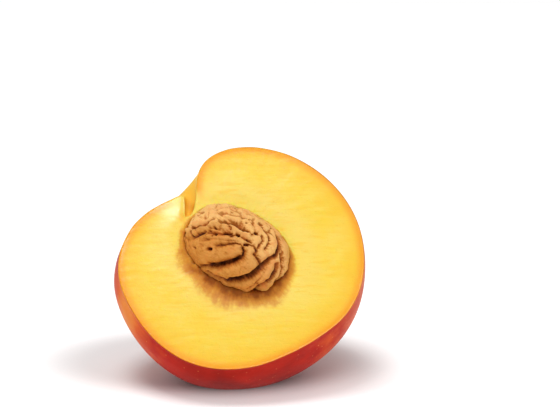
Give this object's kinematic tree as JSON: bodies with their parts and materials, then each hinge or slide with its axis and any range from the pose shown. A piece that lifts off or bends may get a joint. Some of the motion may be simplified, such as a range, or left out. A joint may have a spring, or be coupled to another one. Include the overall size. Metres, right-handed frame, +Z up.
{
  "type": "peach half",
  "caption": "Half of a smooth-skinned peach cut along its seam, with the furrowed stone in its hollow, leaning back on a small flat spot of skin.",
  "frame": {"origin": "centre of the small flat spot of skin that the half rests on", "axes": "+Z up; -Y towards the cut face, whose normal rises 40 degrees from -Y; +X to the right seen from the cut side"},
  "size_m": [0.0713, 0.0605, 0.0641],
  "materials": {
    "fruit": "satin",
    "stone": "matte"
  },
  "bodies": {
    "root": {"fruit_half": "fruit", "peach_stone": "stone"}
  },
  "joints": []
}
